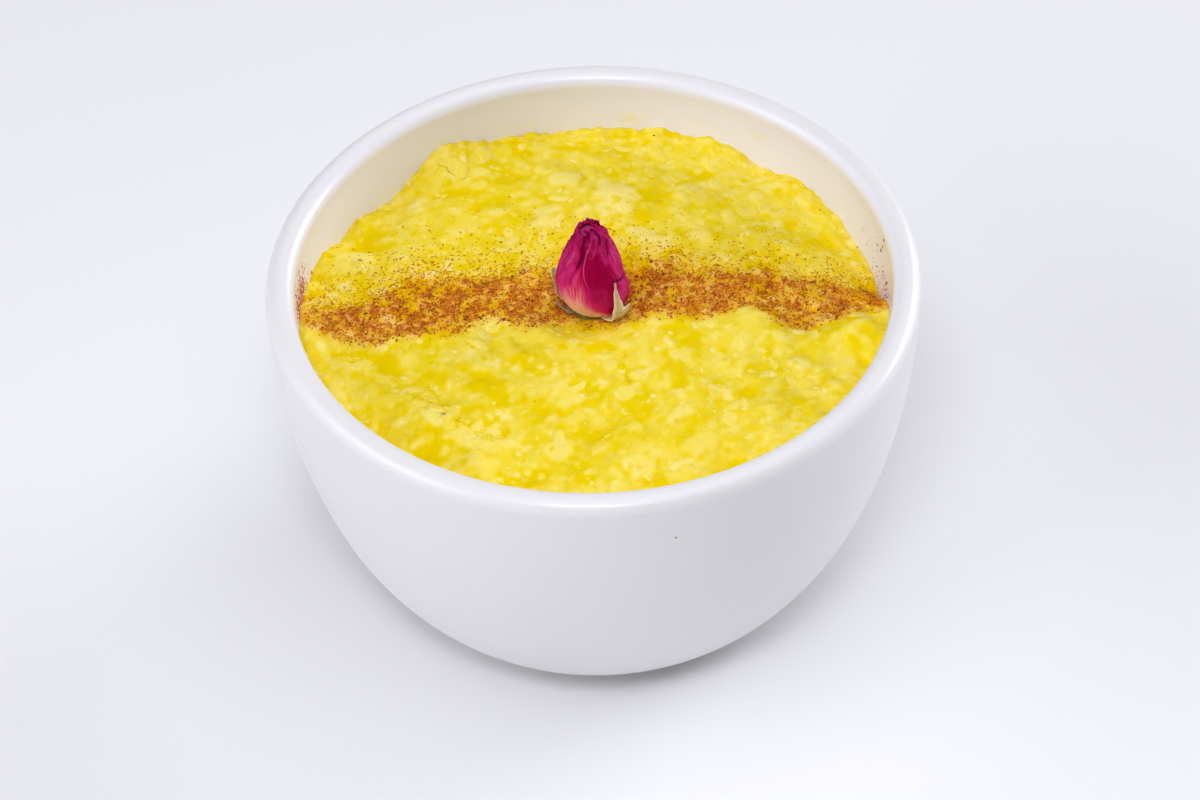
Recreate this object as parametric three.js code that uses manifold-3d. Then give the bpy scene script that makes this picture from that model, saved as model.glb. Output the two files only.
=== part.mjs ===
// Saffron rice pudding in a white porcelain bowl, crossed by a stripe of ground cinnamon,
// with one dried rosebud standing on it.
//
// Millimetres, +Z up. The origin is the centre of the bowl's foot on the surface that it stands on.
// The cinnamon stripe runs along X, and -Y is the front.
import * as THREE from "three";
import { mergeVertices } from "three/addons/utils/BufferGeometryUtils.js";
import Module from "manifold-3d";

const wasm = await Module();
wasm.setup();

// ---------------------------------------------------------------- driving dimensions

const CLEARANCE = 0.35; // between pieces that touch

// bowl
const BOWL_RADIUS = 60;
const BOWL_HEIGHT = 71;
const RIM_THICKNESS = 5.2; // the lip is a half circle of this width
const WALL_THICKNESS = 4.9;
const WALL_LEAD_IN = 6; // the curve of the wall starts this far below the foot
const WALL_ROUNDNESS = 1.88;
const WALL_FULLNESS = 3.345;
const WALL_BOTTOM = 2.8; // height at which the wall meets the foot ring
const FOOT_OUTER = 34.2;
const FOOT_INNER = 29;
const FOOT_ROUNDING = 0.8;
const FOOT_RECESS = 2.2;
const BOWL_SEGMENTS = 64;
const RIM_CENTRE = BOWL_HEIGHT - RIM_THICKNESS / 2;

// pudding
const EDGE_LEVEL = 57.6; // where it meets the wall
const DOME = 2.6; // how much higher it is in the middle
const SURFACE_RINGS = 33;
const SIDE_SEGMENTS_PER_SIXTH = 11; // a third of the surface's outermost ring
const STRIPE_OFFSET = 4.6; // the cinnamon stripe's middle, behind the bowl's centre
const STRIPE_BOW = 4.0; // how much nearer to the front its ends lie
const STRIPE_HALF_WIDTH = 7;
const STRIPE_THICKNESS = 0.45;
const GRAIN_SEED = 20;
const GRAIN_PITCH = 4.2; // between the heads of neighbouring rice grains
const GRAIN_SCATTER = 0.7; // how far a head strays from its place, as a share of the pitch
const GRAIN_HEIGHT = 1.7;
const GRAIN_LENGTH = [2.4, 4.0]; // half lengths of the heads
const GRAIN_WIDTH = [1.7, 2.4];

// rosebud
const BUD_X = -0.5;
const BUD_Y = 3.0;
const BUD_FOOT = 59.5; // underside of the calyx
const BUD_HEIGHT = 19.6;
const BUD_BASE = BUD_FOOT + 0.65; // where the outline of the petals starts
const BUD_RADIUS = 6.55;
const BUD_TAPER = 25.5; // height above its base where the outline would close if it came to a point
const BUD_SWELL = 0.31; // how slowly it widens from the base
const BUD_NARROWING = 1.24; // and how fast it narrows to the tip
const BUD_SLIDE = 1.4; // the petals' base lies this much to the right of their middle
const BUD_UPRIGHT = 7.2; // height above the base from which the middle no longer shifts
const CALYX_RADIUS = 3.1;
const CALYX_THICKNESS = 0.75;
const PETAL_THICKNESS = 0.32;
const PETAL_LIFT = 0.85; // a petal's free edge stands this much further out than its tucked edge
const PETAL_SPAN = 165; // degrees round the bud
const PETAL_BOTTOM = 0.8; // how far above the bud's base the petals start
const TIP_CLOSES = [15, 17.2]; // heights between which the petals stop overlapping
const SEPAL_THICKNESS = 0.4;
const BUD_DENT = 8; // radius of the hollow that the bud has pressed in the pudding
const DENT_MARGIN = 3; // over which the hollow rises to the surface round it

// ---------------------------------------------------------------- small helpers

const { PI, cos, sin, hypot, atan2, max, min, abs, exp, sqrt, floor } = Math;
const rad = THREE.MathUtils.degToRad;
const mix = THREE.MathUtils.lerp;
const smooth = THREE.MathUtils.smoothstep;

// A repeatable stream of numbers from 0 to 1.
function seeded(seed) {
  let state = seed;
  return () => {
    state = (state + 0x6d2b79f5) | 0;
    let t = Math.imul(state ^ (state >>> 15), 1 | state);
    t = (t + Math.imul(t ^ (t >>> 7), 61 | t)) ^ t;
    return ((t ^ (t >>> 14)) >>> 0) / 4294967296;
  };
}

function solidOf(geometry) {
  const bare = (geometry.index ? geometry.toNonIndexed() : geometry.clone());
  bare.deleteAttribute("normal");
  bare.deleteAttribute("uv");
  const merged = mergeVertices(bare, 1e-3);
  return new wasm.Manifold(
    new wasm.Mesh({
      numProp: 3,
      vertProperties: merged.attributes.position.array,
      triVerts: new Uint32Array(merged.index.array),
    }),
  );
}

function geometryOf(solid) {
  const { vertProperties, triVerts } = solid.getMesh();
  const geometry = new THREE.BufferGeometry();
  geometry.setAttribute("position", new THREE.BufferAttribute(new Float32Array(vertProperties), 3));
  geometry.setIndex(new THREE.BufferAttribute(new Uint32Array(triVerts), 1));
  geometry.computeVertexNormals();
  return geometry;
}

function indexed(points, faces) {
  const geometry = new THREE.BufferGeometry();
  const coordinates = points.flatMap(({ x, y, z }) => [x, y, z]);
  geometry.setAttribute("position", new THREE.Float32BufferAttribute(coordinates, 3));
  geometry.setIndex(faces.flat());
  geometry.computeVertexNormals();
  return geometry;
}

// A body turned round Z. The profile runs from the axis at the bottom, up the outside, and back to the axis.
function turned(profile, segments) {
  const points = profile.map(([r, z]) => new THREE.Vector2(r, z));
  return new THREE.LatheGeometry(points, segments).rotateX(PI / 2);
}

// A thin solid on both sides of a surface. at(u, v) is a point, with u across and v along, both from 0 to 1.
function sheet(at, across, along, thickness) {
  const step = 1e-3;
  const centre = (i, j) => at(i / across, j / along);
  const normal = (i, j) => {
    const u = min(i / across, 1 - step);
    const v = min(j / along, 1 - step);
    const du = at(u + step, v).sub(at(u, v));
    const dv = at(u, v + step).sub(at(u, v));
    return du.cross(dv).normalize();
  };
  const points = [];
  for (const side of [0.5, -0.5])
    for (let j = 0; j <= along; j++)
      for (let i = 0; i <= across; i++)
        points.push(centre(i, j).addScaledVector(normal(i, j), side * thickness));
  const layer = (across + 1) * (along + 1);
  const id = (i, j, side) => side * layer + j * (across + 1) + i;
  const faces = [];
  for (let j = 0; j < along; j++)
    for (let i = 0; i < across; i++) {
      const [a, b, c, d] = [[i, j], [i + 1, j], [i + 1, j + 1], [i, j + 1]];
      faces.push([id(...a, 0), id(...b, 0), id(...c, 0)], [id(...a, 0), id(...c, 0), id(...d, 0)]);
      faces.push([id(...a, 1), id(...c, 1), id(...b, 1)], [id(...a, 1), id(...d, 1), id(...c, 1)]);
    }
  const rim = [];
  for (let i = 0; i < across; i++) rim.push([i, 0]);
  for (let j = 0; j < along; j++) rim.push([across, j]);
  for (let i = across; i > 0; i--) rim.push([i, along]);
  for (let j = along; j > 0; j--) rim.push([0, j]);
  rim.forEach((a, k) => {
    const b = rim[(k + 1) % rim.length];
    faces.push([id(...a, 0), id(...a, 1), id(...b, 1)], [id(...a, 0), id(...b, 1), id(...b, 0)]);
  });
  return indexed(points, faces);
}

function piece(name, geometry, color, roughness) {
  const mesh = new THREE.Mesh(geometry, new THREE.MeshStandardMaterial({ color, roughness, metalness: 0 }));
  mesh.name = name;
  return mesh;
}

// ---------------------------------------------------------------- bowl

function outerRadius(z) {
  const t = (z + WALL_LEAD_IN) / (RIM_CENTRE + WALL_LEAD_IN);
  return BOWL_RADIUS * (1 - (1 - t) ** WALL_ROUNDNESS) ** (1 / WALL_FULLNESS);
}

// [radius, height] down the inside of the wall: the outside moved in by the wall's thickness.
function insideWall() {
  const points = [];
  for (const share of [1, 0.91, 0.82, 0.72, 0.56, 0.4, 0.25, 0.12, 0.04]) {
    const z = mix(WALL_BOTTOM, RIM_CENTRE, share);
    const slope = outerRadius(z) - outerRadius(z - 1);
    const tilt = hypot(1, slope);
    const thickness = mix(WALL_THICKNESS, RIM_THICKNESS, share);
    points.push([outerRadius(z) - thickness / tilt, z + (share < 1 ? (thickness * slope) / tilt : 0)]);
  }
  return points;
}

const INSIDE = insideWall();
const FLOOR = INSIDE.at(-1)[1] - 0.6; // the cavity's lowest point, on the axis

function insideRadius(z) {
  for (let i = 1; i < INSIDE.length; i++) {
    const [[r1, z1], [r0, z0]] = [INSIDE[i - 1], INSIDE[i]];
    if (z >= z0) return mix(r0, r1, (z - z0) / (z1 - z0));
  }
  return INSIDE.at(-1)[0];
}

function bowl() {
  const foot = [
    [0, FOOT_RECESS],
    [FOOT_INNER - FOOT_ROUNDING, FOOT_RECESS],
    [FOOT_INNER + FOOT_ROUNDING, 0],
    [FOOT_OUTER - FOOT_ROUNDING, 0],
    [FOOT_OUTER, FOOT_ROUNDING],
    [FOOT_OUTER + 0.3, WALL_BOTTOM - 1],
  ];
  const outside = [0, 0.05, 0.12, 0.22, 0.34, 0.48, 0.64, 0.82].map((share) => {
    const z = mix(WALL_BOTTOM, RIM_CENTRE, share);
    return [outerRadius(z), z];
  });
  const lip = [];
  const steps = 8;
  for (let i = 0; i < steps; i++) {
    const a = (i / steps) * PI;
    const middle = BOWL_RADIUS - RIM_THICKNESS / 2;
    lip.push([middle + (RIM_THICKNESS / 2) * cos(a), RIM_CENTRE + (RIM_THICKNESS / 2) * sin(a)]);
  }
  const profile = [...foot, ...outside, ...lip, ...INSIDE, [0, FLOOR]];
  return piece("bowl", turned(profile, BOWL_SEGMENTS), 0xe9e9ef, 0.12);
}

// ---------------------------------------------------------------- pudding

// Mounds and hollows of the spooned surface: x, y, half length, half width, turn in degrees, height.
const MOUNDS = [
  [28, -5.5, 7, 4.5, -12, 2.2], // the heaps that overhang the stripe on the right
  [46, -6, 7, 4.2, 12, 2.0],
  [36.5, -3, 4, 3, 0, -1.0], // the gap between them
  [12, -8, 8, 4, 5, 0.9],
  [3.5, 28, 4.6, 4.2, 0, 1.8], // pale lumps behind the bud
  [-9, 23, 3.8, 3.2, 20, 1.6],
  [-5, 33, 4.2, 3.4, 0, 1.1],
  [11, 16, 6, 4, -20, 1.2],
  [-34, 15, 8, 4, 15, 1.4],
  [-26, 27, 6, 5, 40, 1.0],
  [19, 31, 6, 4.5, -30, 1.1],
  [33, 18, 7, 5, -50, 1.0],
  [-29, -27, 11, 4.2, -48, 2.4], // the long ridge at the front left
  [-21, -38, 5, 5, 0, 1.4],
  [-45, -13, 5, 5, 0, 1.5],
  [16, -27, 8, 5, 70, 1.3],
  [30, -27, 6, 5, 10, 1.2],
  [4, -36, 7, 5, -20, 1.3],
  [-8, -22, 7, 4, 25, 0.9],
  [-31, -17, 7, 3.6, -35, -1.4], // hollows where the clear syrup gathers
  [-38, -29, 6, 3.2, -55, -1.2],
  [8, 24, 4, 2.6, -60, -1.0],
  [-20, 20, 5, 2, 5, -0.9],
  [0, -28, 6, 3, 30, -1.0],
  [24, -37, 7, 3.2, 20, -1.0],
];

// Where the edge on the wall stands higher or lower than the rest: direction in degrees, half width, height.
const EDGE_WAVES = [
  [176, 8, 1.8],
  [160, 6, 1.6],
  [152, 4, -2.4],
  [137, 6, -3.0],
  [121, 6, 3.8],
  [107, 7, 1.2],
  [78, 12, 1.2],
  [62, 5, 1.2],
  [52, 4, -1.4],
  [44, 4, 1.2],
  [24, 8, -1.9],
  [11, 7, -3.8],
  [-6, 7, 1.2],
  [-40, 12, 1.2],
  [-75, 14, -0.8],
  [-110, 10, 1.3],
  [-140, 12, -0.6],
];

const bell = (d) => exp(-d * d);

function spooned(x, y) {
  const r = hypot(x, y);
  const edge = insideRadius(EDGE_LEVEL);
  let z = EDGE_LEVEL + DOME * (1 - min(r / edge, 1) ** 2);
  for (const [mx, my, length, width, turn, height] of MOUNDS) {
    const [c, s] = [cos(rad(turn)), sin(rad(turn))];
    const along = ((x - mx) * c + (y - my) * s) / length;
    const aside = ((y - my) * c - (x - mx) * s) / width;
    z += height * bell(hypot(along, aside));
  }
  const heading = atan2(y, x);
  for (const [direction, width, height] of EDGE_WAVES) {
    const turn = heading - rad(direction);
    const away = atan2(sin(turn), cos(turn)) / rad(width);
    z += height * bell(away) * smooth(r, edge - 12, edge);
  }
  return z;
}

// Heads of the rice grains that stand out of the surface, on a jittered grid.
function grainHeads() {
  const draw = seeded(GRAIN_SEED);
  const heads = [];
  const reach = BOWL_RADIUS / GRAIN_PITCH;
  for (let j = -reach; j <= reach; j++)
    for (let i = -reach; i <= reach; i++) {
      const x = (i + (floor(j) % 2) / 2 + (draw() - 0.5) * GRAIN_SCATTER) * GRAIN_PITCH;
      const y = (j + (draw() - 0.5) * GRAIN_SCATTER) * GRAIN_PITCH;
      heads.push({
        x,
        y,
        turn: draw() * PI,
        length: mix(...GRAIN_LENGTH, draw()),
        width: mix(...GRAIN_WIDTH, draw()),
        height: GRAIN_HEIGHT * (0.35 + 0.65 * draw()),
      });
    }
  return heads;
}

const HEADS = grainHeads();

function grainRelief(x, y) {
  let top = 0;
  for (const head of HEADS) {
    const [dx, dy] = [x - head.x, y - head.y];
    if (max(abs(dx), abs(dy)) > GRAIN_LENGTH[1]) continue;
    const [c, s] = [cos(head.turn), sin(head.turn)];
    const d = hypot((dx * c + dy * s) / head.length, (dy * c - dx * s) / head.width);
    if (d < 1) top = max(top, head.height * sqrt(1 - d * d));
  }
  return top;
}

// The stripe is dusted on: a thin layer that swells and thins along its length.
function stripe(x, y) {
  const middle = STRIPE_OFFSET - STRIPE_BOW * (x / BOWL_RADIUS) ** 2 + 0.6 * sin(x / 7.5 - 0.4);
  const width = STRIPE_HALF_WIDTH * (1 + 0.12 * sin(x / 7 + 2));
  return STRIPE_THICKNESS * bell((y - middle) / width);
}

function surfaceHeight(x, y) {
  const away = hypot(x - BUD_X, y - BUD_Y);
  const free = smooth(away, BUD_DENT, BUD_DENT + DENT_MARGIN);
  const relief = spooned(x, y) + grainRelief(x, y) + stripe(x, y);
  return mix(BUD_FOOT - CLEARANCE, relief, free);
}

// Points of a level circle, a number of them to each sixth of the turn.
function circle(radius, z, perSixth) {
  const count = 6 * perSixth;
  return Array.from({ length: count }, (_, i) => {
    const a = (i / count) * 2 * PI;
    return new THREE.Vector3(radius * cos(a), radius * sin(a), z);
  });
}

// Ring n of the surface has n points to each sixth of the circle, so that its triangles are all alike.
function surfaceRing(ring) {
  const spread = ring / SURFACE_RINGS;
  return circle(1, 0, ring).map(({ x, y }) => {
    const nominal = (insideRadius(EDGE_LEVEL) - CLEARANCE) * spread;
    const z = surfaceHeight(nominal * x, nominal * y);
    const r = (insideRadius(z) - CLEARANCE) * spread;
    return new THREE.Vector3(r * x, r * y, z);
  });
}

// Triangles between two rings, each with its own number of points.
function strip(outer, outerStart, inner, innerStart) {
  const faces = [];
  let [i, j] = [0, 0];
  while (i < outer || j < inner) {
    const a = outerStart + (i % outer);
    const b = innerStart + (j % inner);
    if (j === inner || (i < outer && (i + 0.5) / outer <= (j + 0.5) / inner)) {
      faces.push([b, a, outerStart + ((i + 1) % outer)]);
      i++;
    } else {
      faces.push([b, a, innerStart + ((j + 1) % inner)]);
      j++;
    }
  }
  return faces;
}

function pudding() {
  const rings = [[new THREE.Vector3(0, 0, surfaceHeight(0, 0))]];
  for (let ring = 1; ring <= SURFACE_RINGS; ring++) rings.push(surfaceRing(ring));
  // The side follows the inside of the bowl down to its floor.
  for (const [r, z] of INSIDE.filter(([, level]) => level < EDGE_LEVEL - 8))
    rings.push(circle(r - CLEARANCE, z + (z === INSIDE.at(-1)[1] ? CLEARANCE : 0), SIDE_SEGMENTS_PER_SIXTH));
  rings.push([new THREE.Vector3(0, 0, FLOOR + 2 * CLEARANCE)]);

  const starts = [0];
  for (const ring of rings) starts.push(starts.at(-1) + ring.length);
  const faces = rings.slice(1).flatMap((ring, k) => {
    const between = strip(ring.length, starts[k + 1], rings[k].length, starts[k]);
    return between.filter(([a, b, c]) => a !== b && b !== c && c !== a);
  });
  return piece("pudding", indexed(rings.flat(), faces), 0xecd22c, 0.3);
}

// ---------------------------------------------------------------- rosebud

// Outline of the whole bud: its radius at a height above its base.
function budRadius(h) {
  const fullest = BUD_SWELL / (BUD_SWELL + BUD_NARROWING);
  const u = max(h / BUD_TAPER, 0.003);
  return BUD_RADIUS * (u / fullest) ** BUD_SWELL * ((1 - u) / (1 - fullest)) ** BUD_NARROWING;
}

const PETAL_ROOM = CLEARANCE + PETAL_THICKNESS; // what one petal takes up outside the core

// Towards the tip the petals no longer overlap, so there they lie close to the core.
const liftAt = (h) => PETAL_LIFT * (1 - smooth(h, ...TIP_CLOSES));

function onBud(direction, radius, h) {
  const middle = BUD_X + BUD_SLIDE * (1 - smooth(h, 0, BUD_UPRIGHT));
  return new THREE.Vector3(middle + radius * cos(direction), BUD_Y + radius * sin(direction), BUD_BASE + h);
}

// The closed inner petals, wound to a blunt tip.
function budCore() {
  const rows = 12;
  const around = 18;
  const bottom = BUD_FOOT + CALYX_THICKNESS + CLEARANCE - BUD_BASE;
  const top = BUD_FOOT + BUD_HEIGHT - BUD_BASE;
  const points = [];
  const faces = [];
  for (let j = 0; j <= rows; j++) {
    const h = mix(top, bottom, (1 - j / rows) ** 1.35);
    for (let i = 0; i < around; i++) {
      const a = (i / around) * 2 * PI;
      points.push(onBud(a, max(budRadius(h) - PETAL_ROOM - liftAt(h), 0.5), h));
    }
  }
  for (let j = 0; j < rows; j++)
    for (let i = 0; i < around; i++) {
      const next = (i + 1) % around;
      const [a, b, c, d] = [j * around + i, j * around + next, (j + 1) * around + next, (j + 1) * around + i];
      faces.push([a, b, c], [a, c, d]);
    }
  const [low, high] = [points.length, points.length + 1];
  points.push(onBud(0, 0, bottom), onBud(0, 0, top));
  for (let i = 0; i < around; i++) {
    const next = (i + 1) % around;
    faces.push([low, next, i], [high, rows * around + i, rows * around + next]);
  }
  return piece("bud_core", indexed(points, faces), 0x8a0f3c, 0.6);
}

// How wide a petal is at a share of its length: narrow at its root, and pointed with a blunt tip.
function petalWidth(v) {
  if (v < 0.5) return mix(0.62, 1, sin(v * PI));
  return sqrt(1 - 0.88 * ((v - 0.5) / 0.5) ** 2);
}

// An outer petal wraps the core from its free edge, which lies outside, round to its tucked edge.
function petal(name, freeEdge, top, color) {
  const at = (u, v) => {
    const h = mix(PETAL_BOTTOM, top, v);
    const share = 0.5 + (u - 0.5) * petalWidth(v);
    const r = budRadius(h) - PETAL_THICKNESS / 2 - liftAt(h) * smooth(share, 0, 1);
    return onBud(rad(freeEdge + PETAL_SPAN * share), r, h);
  };
  return piece(name, sheet(at, 10, 9, PETAL_THICKNESS), color, 0.55);
}

// A dried sepal: from under the calyx out over the pudding, then up beside the bud or flat out.
// Stations along it are [direction, radius, height above the calyx's underside, half width].
function sepal(stations) {
  const crown = 0.25; // how far its middle bulges outwards
  const ripple = 0.12;
  const at = (u, v) => {
    const x = v * (stations.length - 1);
    const i = min(floor(x), stations.length - 2);
    const [a, b] = [stations[i], stations[i + 1]];
    const [direction, radius, h, half] = a.map((value, k) => mix(value, b[k], x - i));
    const across = (u - 0.5) * 2;
    const turn = rad(direction) + (across * half) / max(radius, 2.5);
    const cupped = radius + crown * (1 - across * across);
    return new THREE.Vector3(
      BUD_X + cupped * cos(turn),
      BUD_Y + cupped * sin(turn),
      BUD_FOOT + h + ripple * sin(7 * v + 3 * u),
    );
  };
  return sheet(at, 3, 2 * (stations.length - 1), SEPAL_THICKNESS);
}

// All of them leave the calyx at the same height, and those that lie on the pudding end a little above it.
const SEPAL_ROOT = [2.2, 0.45];
const LYING = SEPAL_THICKNESS / 2 + 0.45;

const SEPALS = [
  // front right, standing up the side of the bud
  [[-48, ...SEPAL_ROOT, 1.1], [-47, 4.8, 0.45, 1.3], [-46, 7.2, 0.7, 1.5], [-46, 7.5, 2.8, 1.7],
    [-46, 7.4, 5.6, 0.95], [-45.5, 6.9, 9.9, 0.25]],
  // left, its blunt tip standing away from the bud
  [[168, ...SEPAL_ROOT, 1.2], [168, 4.6, 0.45, 1.3], [167, 6.2, 0.9, 1.1], [166, 6.8, 4.2, 0.8],
    [166, 7.1, 8.3, 0.6]],
  // front left, curled up under the bud
  [[-150, ...SEPAL_ROOT, 1.1], [-152, 4.0, 0.5, 1.2], [-158, 5.2, 1.2, 1.1], [-164, 6.0, 2.2, 0.8]],
  // front, cut short under the petals
  [[-95, ...SEPAL_ROOT, 1.3], [-93, 4.2, 0.45, 1.0]],
  // back right, flat on the pudding
  [[55, ...SEPAL_ROOT, 1.1], [56, 4.8, 0.45, 1.5], [58, 6.6, LYING, 1.2], [60, 8.0, LYING + 0.1, 0.4]],
];

function calyx() {
  const cup = turned(
    [
      [0, 0],
      [CALYX_RADIUS * 0.75, 0],
      [CALYX_RADIUS, CALYX_THICKNESS * 0.45],
      [CALYX_RADIUS * 0.92, CALYX_THICKNESS],
      [0, CALYX_THICKNESS],
    ],
    16,
  ).translate(BUD_X, BUD_Y, BUD_FOOT);
  const joined = SEPALS.reduce((body, stations) => body.add(solidOf(sepal(stations))), solidOf(cup));
  return piece("calyx", geometryOf(joined), 0xb9ab84, 0.85);
}

// ---------------------------------------------------------------- the dish as served

const dish = new THREE.Group();
dish.add(
  bowl(),
  pudding(),
  budCore(),
  petal("petal_front", -102, 18.6, 0x9a0f4c),
  petal("petal_right", 18, 18.2, 0xa81a5c),
  petal("petal_left", 138, 17.9, 0xb02468),
  calyx(),
);

export default dish;
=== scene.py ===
from math import atan2, cos, degrees, hypot, pi, radians, sin, sqrt

import bmesh
import bpy
import numpy as np
from mathutils import Matrix, Vector, noise
from mathutils.bvhtree import BVHTree


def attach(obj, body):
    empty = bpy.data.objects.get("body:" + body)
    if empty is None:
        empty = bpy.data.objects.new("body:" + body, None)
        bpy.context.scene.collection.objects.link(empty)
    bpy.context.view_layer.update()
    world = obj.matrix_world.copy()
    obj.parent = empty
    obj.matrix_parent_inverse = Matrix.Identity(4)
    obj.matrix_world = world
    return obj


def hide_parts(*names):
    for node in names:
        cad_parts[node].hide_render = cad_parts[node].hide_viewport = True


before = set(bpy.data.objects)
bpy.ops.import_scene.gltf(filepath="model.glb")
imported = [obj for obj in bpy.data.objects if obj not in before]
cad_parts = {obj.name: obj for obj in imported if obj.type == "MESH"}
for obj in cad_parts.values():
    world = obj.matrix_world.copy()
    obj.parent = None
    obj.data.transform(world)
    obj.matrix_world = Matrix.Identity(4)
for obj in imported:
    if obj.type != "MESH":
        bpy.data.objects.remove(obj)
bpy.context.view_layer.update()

MM = 0.001


# ---- The camera stands three quarters of a metre off and looks down into the bowl from the front. It has a
# long lens, and is held very slightly out of level.

camera_place = Vector((0.62 * MM, -515.98 * MM, 548.26 * MM))
look_down = radians(44.693)
out_of_level = radians(-1.687)


def put_in_scene(name, data):
    item = bpy.data.objects.new(name, data)
    bpy.context.scene.collection.objects.link(item)
    return item


camera_data = bpy.data.cameras.new("camera")
camera_data.sensor_width = 36
camera_data.lens = 115.3
camera = put_in_scene("camera", camera_data)
aim = Matrix.Rotation(pi / 2 - look_down, 4, "X") @ Matrix.Rotation(out_of_level, 4, "Z")
camera.matrix_world = Matrix.Translation(camera_place) @ aim
bpy.context.scene.camera = camera


# ---- The table is a seamless pale sheet under a light tent. One small lamp burns high in front, a low
# window glows at the back right, and wide soft panels fill in from the left and from above.

floor_radius = 4


def mesh_from(bm, name):
    """The mesh of what was built up in bm, which is then let go."""
    mesh = bpy.data.meshes.new(name)
    bm.to_mesh(mesh)
    bm.free()
    return mesh


def new_finish(name):
    """A new material, with its node tree and its shader."""
    material = bpy.data.materials.new(name)
    material.use_nodes = True
    return material, material.node_tree, material.node_tree.nodes["Principled BSDF"]


bm = bmesh.new()
bmesh.ops.create_circle(bm, cap_ends=True, segments=96, radius=floor_radius)
floor = put_in_scene("floor", mesh_from(bm, "floor"))

paper, tree, shader = new_finish("pale paper")
shader.inputs["Base Color"].default_value = (0.845, 0.845, 0.855, 1)
shader.inputs["Roughness"].default_value = 0.7
floor.data.materials.append(paper)

world = bpy.data.worlds.new("light tent")
bpy.context.scene.world = world
world.use_nodes = True
tent = world.node_tree.nodes["Background"]
tent.inputs["Color"].default_value = (0.93, 0.94, 1.0, 1)
tent.inputs["Strength"].default_value = 0.2


def panel(name, towards, height, away, size, watts, colour=(0.95, 0.955, 1)):
    """A rectangular lamp facing the bowl, which sees it at this heading and height, both in degrees."""
    data = bpy.data.lights.new(name, "AREA")
    data.shape = "RECTANGLE"
    data.size, data.size_y = size
    data.energy = watts
    data.color = colour
    lamp = put_in_scene(name, data)
    turn, rise = radians(towards), radians(height)
    spot = Vector((cos(rise) * cos(turn), cos(rise) * sin(turn), sin(rise))) * away
    lamp.matrix_world = Matrix.Translation(spot) @ spot.to_track_quat("Z", "Y").to_matrix().to_4x4()


panel("front lamp", towards=-96, height=58, away=1.2, size=(0.34, 0.2), watts=3.7)
panel("window", towards=32, height=18, away=1.6, size=(0.9, 0.5), watts=14.5)
panel("left panel", towards=200, height=30, away=1.5, size=(1.2, 0.9), watts=9.5)
panel("ceiling", towards=-60, height=80, away=1.6, size=(1.4, 1.4), watts=10.4)

bpy.context.scene.view_settings.view_transform = "Standard"


# ---- The bowl is cast porcelain, turned on a wheel to a thick half-round lip and a low foot ring, and
# dipped in a white glaze that has flowed smooth. Only the ring that it stands on is wiped bare.

bowl_radius = 60 * MM
bowl_height = 71 * MM
lip_radius = 2.6 * MM
lip_level = bowl_height - lip_radius
wall_thickness = 4.9 * MM
wall_roundness = 1.88
wall_fullness = 3.345
wall_lead_in = 6 * MM
wall_bottom = 2.8 * MM
foot_outer = 34.2 * MM
foot_inner = 29 * MM
foot_rounding = 0.8 * MM
foot_recess = 2.2 * MM
foot_fillet = 1.6 * MM
wall_sway = 0.10 * MM
sways_per_metre = 28
full_sway_above = 20 * MM
bowl_steps = 240


def outer_radius(z):
    t = (z + wall_lead_in) / (lip_level + wall_lead_in)
    return bowl_radius * (1 - (1 - t) ** wall_roundness) ** (1 / wall_fullness)


def inside_point(share):
    """[radius, height] on the inner wall, its thickness in from the outside, at a share of the way up."""
    z = wall_bottom + (lip_level - wall_bottom) * share
    slope = (outer_radius(z) - outer_radius(z - MM)) / MM
    tilt = hypot(1, slope)
    thickness = wall_thickness + (2 * lip_radius - wall_thickness) * share
    return outer_radius(z) - thickness / tilt, z + thickness * slope / tilt * (share < 1)


inside = [inside_point(share) for share in np.linspace(1, 0.04, 40)]
cavity_floor = inside[-1][1] - 0.6 * MM


def inside_radius(z):
    return np.interp(z, [p[1] for p in inside[::-1]], [p[0] for p in inside[::-1]])


def turned(name, profile, steps):
    """A closed body spun round the upright axis from a profile that starts and ends on it."""
    bm = bmesh.new()
    ring = [bm.verts.new((r, 0, z)) for r, z in profile]
    edges = [bm.edges.new(pair) for pair in zip(ring, ring[1:])]
    bmesh.ops.spin(
        bm, geom=ring + edges, cent=(0, 0, 0), axis=(0, 0, 1), angle=2 * pi, steps=steps, use_merge=True)
    bmesh.ops.remove_doubles(bm, verts=bm.verts, dist=1e-6)
    bmesh.ops.recalc_face_normals(bm, faces=bm.faces)
    for face in bm.faces:
        face.smooth = True
    return mesh_from(bm, name)


def arc(centre, radius, start, end, steps):
    """Points along part of a circle, from one angle to another in degrees."""
    turns = [radians(start + (end - start) * i / steps) for i in range(steps + 1)]
    return [(centre[0] + radius * cos(a), centre[1] + radius * sin(a)) for a in turns]


def place(mesh, material, slot, *nodes, thickness=0):
    """Puts a finished mesh in the scene as a piece of the dish, standing for these CAD nodes. A sheet gets
    its thickness inwards from its outer face."""
    mesh.materials.append(material)
    piece = put_in_scene(mesh.name, mesh)
    if thickness:
        thickened = piece.modifiers.new("thickness", "SOLIDIFY")
        thickened.thickness = thickness
        thickened.offset = -1
    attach(piece, "root")
    if nodes:
        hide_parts(*nodes)
    return piece


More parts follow.
